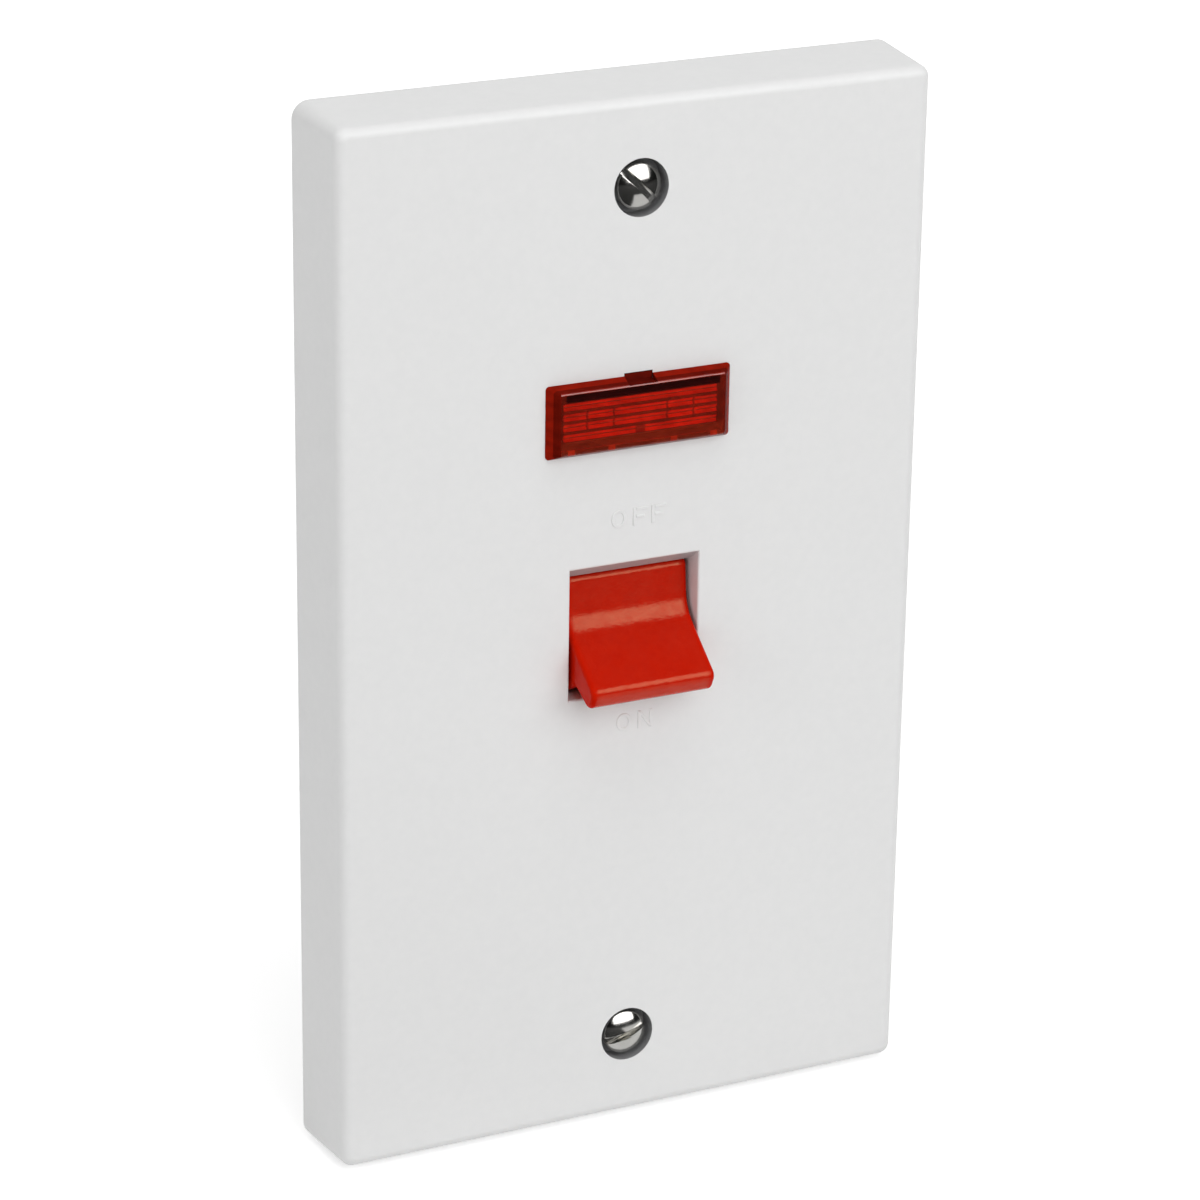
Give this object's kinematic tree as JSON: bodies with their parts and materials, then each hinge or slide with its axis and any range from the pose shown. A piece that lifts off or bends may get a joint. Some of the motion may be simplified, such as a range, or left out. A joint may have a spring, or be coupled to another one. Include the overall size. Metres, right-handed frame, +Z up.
{
  "type": "cooker switch",
  "caption": "Tall white moulded wall plate with a wide red double-pole rocker switch, a red indicator window, slotted fixing screws and a terminal base behind.",
  "frame": {"origin": "centre of the plate's outline on the wall plane, midway between the fixing screws", "axes": "+X right seen from the front, +Y into the wall, +Z up"},
  "size_m": [0.086, 0.038, 0.146],
  "materials": {
    "plate_white": "smooth moulded white",
    "rocker_red": "glossy moulded red",
    "lens_red": "clear moulded red",
    "lamp_glass": "clear glass",
    "nickel": "bright plated",
    "nickel_wire": "plain wire",
    "zinc_steel": "zinc plated",
    "spring_steel": "drawn wire",
    "brass": "machined",
    "copper": "rolled copper",
    "silver": "silver contact",
    "base_dark": "moulded phenolic",
    "carrier_white": "moulded",
    "plunger_grey": "moulded nylon",
    "resistor_body": "lacquered",
    "lead_sleeve": "extruded sleeve"
  },
  "bodies": {
    "plate": {"faceplate": "plate_white", "fixing_screws": "nickel", "switch_base": "base_dark", "base_screws": "zinc_steel", "terminal_screws": "zinc_steel", "neon_lens": "lens_red", "neon_lamp": "lamp_glass", "lamp_electrodes": "nickel_wire", "lamp_carrier": "carrier_white", "ballast_resistor": "resistor_body", "earth_terminal": "brass", "earth_screws": "zinc_steel", "fixed_contact_left": "silver", "fixed_contact_right": "silver", "supply_terminal_left": "brass", "supply_terminal_right": "brass", "load_terminal_left": "brass", "load_terminal_right": "brass", "neon_lead_left": "lead_sleeve", "neon_lead_right": "lead_sleeve"},
    "rocker": {"rocker": "rocker_red", "plunger_spring_left": "spring_steel", "plunger_spring_right": "spring_steel"},
    "plunger_left": {"plunger_left": "plunger_grey"},
    "arm_left": {"contact_arm_left": "copper", "moving_contact_left": "silver"},
    "plunger_right": {"plunger_right": "plunger_grey"},
    "arm_right": {"contact_arm_right": "copper", "moving_contact_right": "silver"}
  },
  "joints": [
    {"name": "rocker_pivot", "type": "hinge", "parent": "plate", "child": "rocker", "pos_m": [0, -0.0067, 0], "axis": [1, 0, 0], "range_deg": [0, 12]},
    {"name": "arm_left_tip", "type": "hinge", "parent": "plate", "child": "arm_left", "pos_m": [-0.0052, 0.0096, 0], "axis": [-1, 0, 0], "range_deg": [0, 14]},
    {"name": "plunger_left_slide", "type": "slide", "parent": "rocker", "child": "plunger_left", "axis": [0, -0.9945, 0.1045], "range_m": [-0.0002, 0.001], "stiffness_N_per_m": 1500, "deforming": ["plunger_spring_left"]},
    {"name": "arm_right_tip", "type": "hinge", "parent": "plate", "child": "arm_right", "pos_m": [0.0052, 0.0096, 0], "axis": [-1, 0, 0], "range_deg": [0, 14]},
    {"name": "plunger_right_slide", "type": "slide", "parent": "rocker", "child": "plunger_right", "axis": [0, -0.9945, 0.1045], "range_m": [-0.0002, 0.001], "stiffness_N_per_m": 1500, "deforming": ["plunger_spring_right"]}
  ],
  "couplings": [
    {"joint": "arm_left_tip", "follows": "rocker_pivot", "ratio": 1.1667},
    {"joint": "arm_right_tip", "follows": "rocker_pivot", "ratio": 1.1667}
  ]
}
